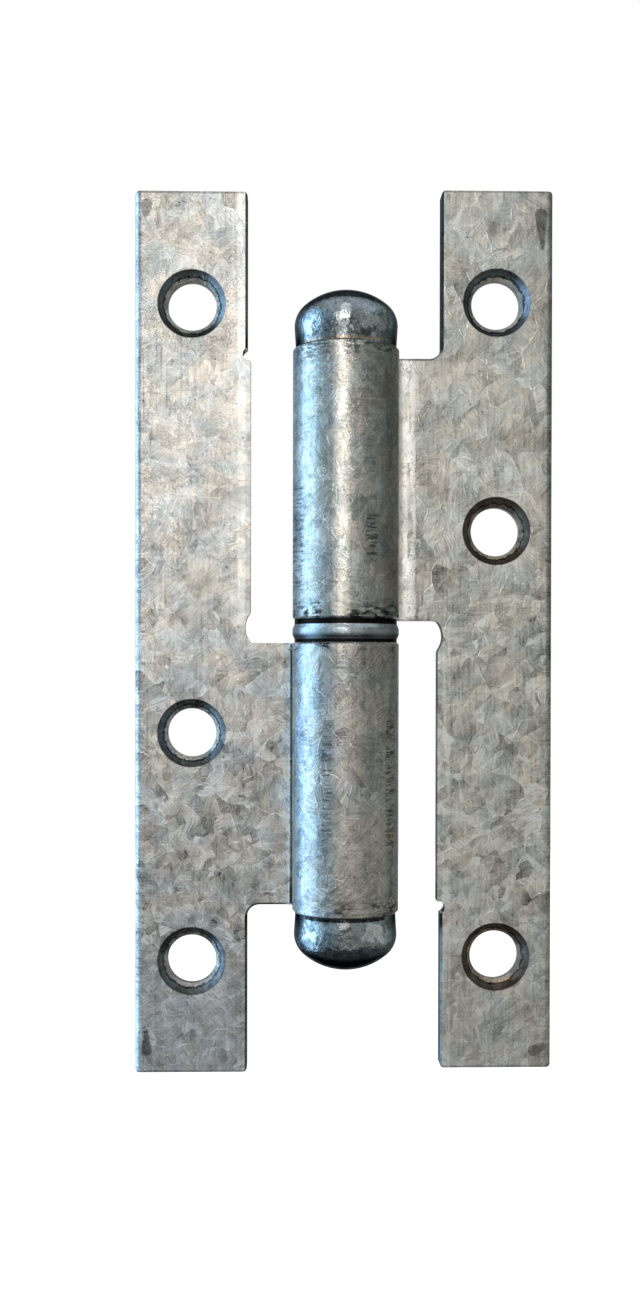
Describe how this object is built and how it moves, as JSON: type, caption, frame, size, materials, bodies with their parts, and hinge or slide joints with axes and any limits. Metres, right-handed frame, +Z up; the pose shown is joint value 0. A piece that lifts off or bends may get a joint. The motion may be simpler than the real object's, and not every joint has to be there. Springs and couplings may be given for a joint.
{
  "type": "lift-off hinge",
  "caption": "Lift-off door hinge: rolled sheet-steel leaves that turn on a headed pin, with a bearing ring between the knuckles; the upper leaf lifts off.",
  "frame": {"origin": "on the pin's axis, half way up the bearing ring, which is also the centre of the bounding box", "axes": "+Z up along the pin towards the leaf that lifts off, -Y out of the countersunk faces, +X towards the outer edge of the upper leaf"},
  "size_m": [0.0666, 0.0166, 0.1404],
  "materials": {
    "galvanised_sheet": "hot-dip galvanised, spangled, with pressing marks",
    "zinc_plated_steel": "bright zinc plate, lightly pitted"
  },
  "bodies": {
    "frame_leaf": {"lower_leaf": "galvanised_sheet", "hinge_pin": "zinc_plated_steel"},
    "ring": {"bearing_ring": "zinc_plated_steel"},
    "door_leaf": {"upper_leaf": "galvanised_sheet", "top_plug": "zinc_plated_steel"}
  },
  "joints": [
    {"name": "swing", "type": "hinge", "parent": "frame_leaf", "child": "ring", "pos_m": [0, 0, 0], "axis": [0, 0, -1], "range_deg": [-120, 195]},
    {"name": "lift_off", "type": "slide", "parent": "ring", "child": "door_leaf", "axis": [0, 0, 1], "range_m": [0, 0.032]}
  ]
}
